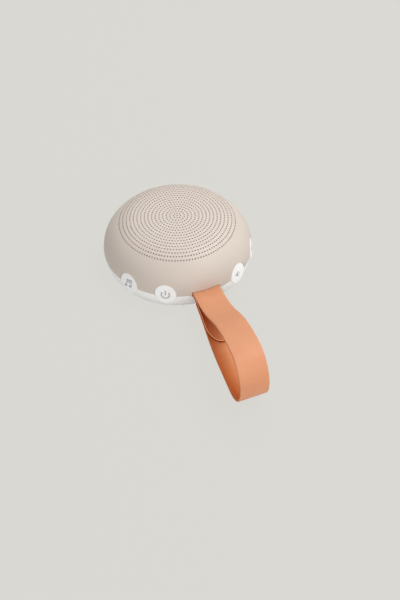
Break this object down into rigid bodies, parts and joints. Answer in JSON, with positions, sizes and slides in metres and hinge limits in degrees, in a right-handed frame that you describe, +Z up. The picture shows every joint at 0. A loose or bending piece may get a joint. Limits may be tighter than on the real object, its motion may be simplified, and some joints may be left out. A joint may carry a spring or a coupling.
{
  "type": "white noise sound machine",
  "caption": "Palm-sized round white noise sound machine with a perforated domed speaker cover, push buttons round its rim, a white base and a tan leather carrying loop.",
  "frame": {"origin": "middle of the foot pad's underside, on the surface that the machine stands on", "axes": "+Z up through the middle of the dome; the leather loop lies towards -Y and the charging socket faces +Y; +X completes the right-handed set"},
  "size_m": [0.0982, 0.1856, 0.038],
  "materials": {
    "taupe_plastic": "fine satin texture",
    "white_plastic": "satin",
    "foot_rubber": "matt",
    "black_plastic": "matt",
    "acoustic_cloth": "open weave",
    "board": "solder resist",
    "chip_resin": "matt",
    "socket_steel": "drawn",
    "cell_wrap": "foil pouch",
    "foam": "closed-cell foam",
    "lead_red": "insulation",
    "lead_black": "insulation",
    "plug_plastic": "natural nylon",
    "frame_steel": "pressed and coated",
    "magnet": "plated",
    "cone_paper": "treated paper",
    "terminal_board": "fibre board",
    "screw_steel": "zinc plated",
    "leather": "smooth vegetable-tanned grain",
    "snap_brass": "brushed"
  },
  "bodies": {
    "case": {"cover": "taupe_plastic", "grille_cloth": "acoustic_cloth", "base": "white_plastic", "foot_pad": "foot_rubber", "switches": "black_plastic", "circuit_board": "board", "board_chips": "chip_resin", "charging_socket": "socket_steel", "cell": "cell_wrap", "cell_foam": "foam", "cell_lead": "lead_red", "speaker_lead": "lead_black", "lead_plugs": "plug_plastic", "speaker_carrier": "black_plastic", "speaker_gasket": "foam", "speaker_frame": "frame_steel", "speaker_magnet": "magnet", "speaker_cone": "cone_paper", "speaker_dust_cap": "cone_paper", "speaker_terminal": "terminal_board", "speaker_screws": "screw_steel", "case_screws": "screw_steel", "strap_pin": "screw_steel", "strap_root": "leather"},
    "button_sound": {"button_sound": "white_plastic", "plunger_sound": "black_plastic"},
    "button_power": {"button_power": "white_plastic", "plunger_power": "black_plastic"},
    "button_volume_down": {"button_volume_down": "white_plastic", "plunger_volume_down": "black_plastic"},
    "button_volume_up": {"button_volume_up": "white_plastic", "plunger_volume_up": "black_plastic"},
    "strap": {"strap_loop": "leather", "snap_socket": "snap_brass"},
    "tongue": {"strap_tongue": "leather", "snap_stud": "snap_brass"}
  },
  "joints": [
    {"name": "strap_swing", "type": "hinge", "parent": "case", "child": "strap", "pos_m": [0, -0.0513, 0.0134], "axis": [-1, 0, 0], "range_deg": [-60, 75]},
    {"name": "tongue_peel", "type": "hinge", "parent": "strap", "child": "tongue", "pos_m": [0, -0.0513, 0.0134], "axis": [-1, 0, 0], "range_deg": [0, 10]},
    {"name": "press_sound", "type": "slide", "parent": "case", "child": "button_sound", "axis": [-0.8829, -0.4695, 0], "range_m": [-0.0006, 0], "stiffness_N_per_m": 1500},
    {"name": "press_power", "type": "slide", "parent": "case", "child": "button_power", "axis": [-0.515, -0.8572, 0], "range_m": [-0.0006, 0], "stiffness_N_per_m": 1500},
    {"name": "press_volume_down", "type": "slide", "parent": "case", "child": "button_volume_down", "axis": [0.515, -0.8572, 0], "range_m": [-0.0006, 0], "stiffness_N_per_m": 1500},
    {"name": "press_volume_up", "type": "slide", "parent": "case", "child": "button_volume_up", "axis": [0.8829, -0.4695, 0], "range_m": [-0.0006, 0], "stiffness_N_per_m": 1500}
  ]
}
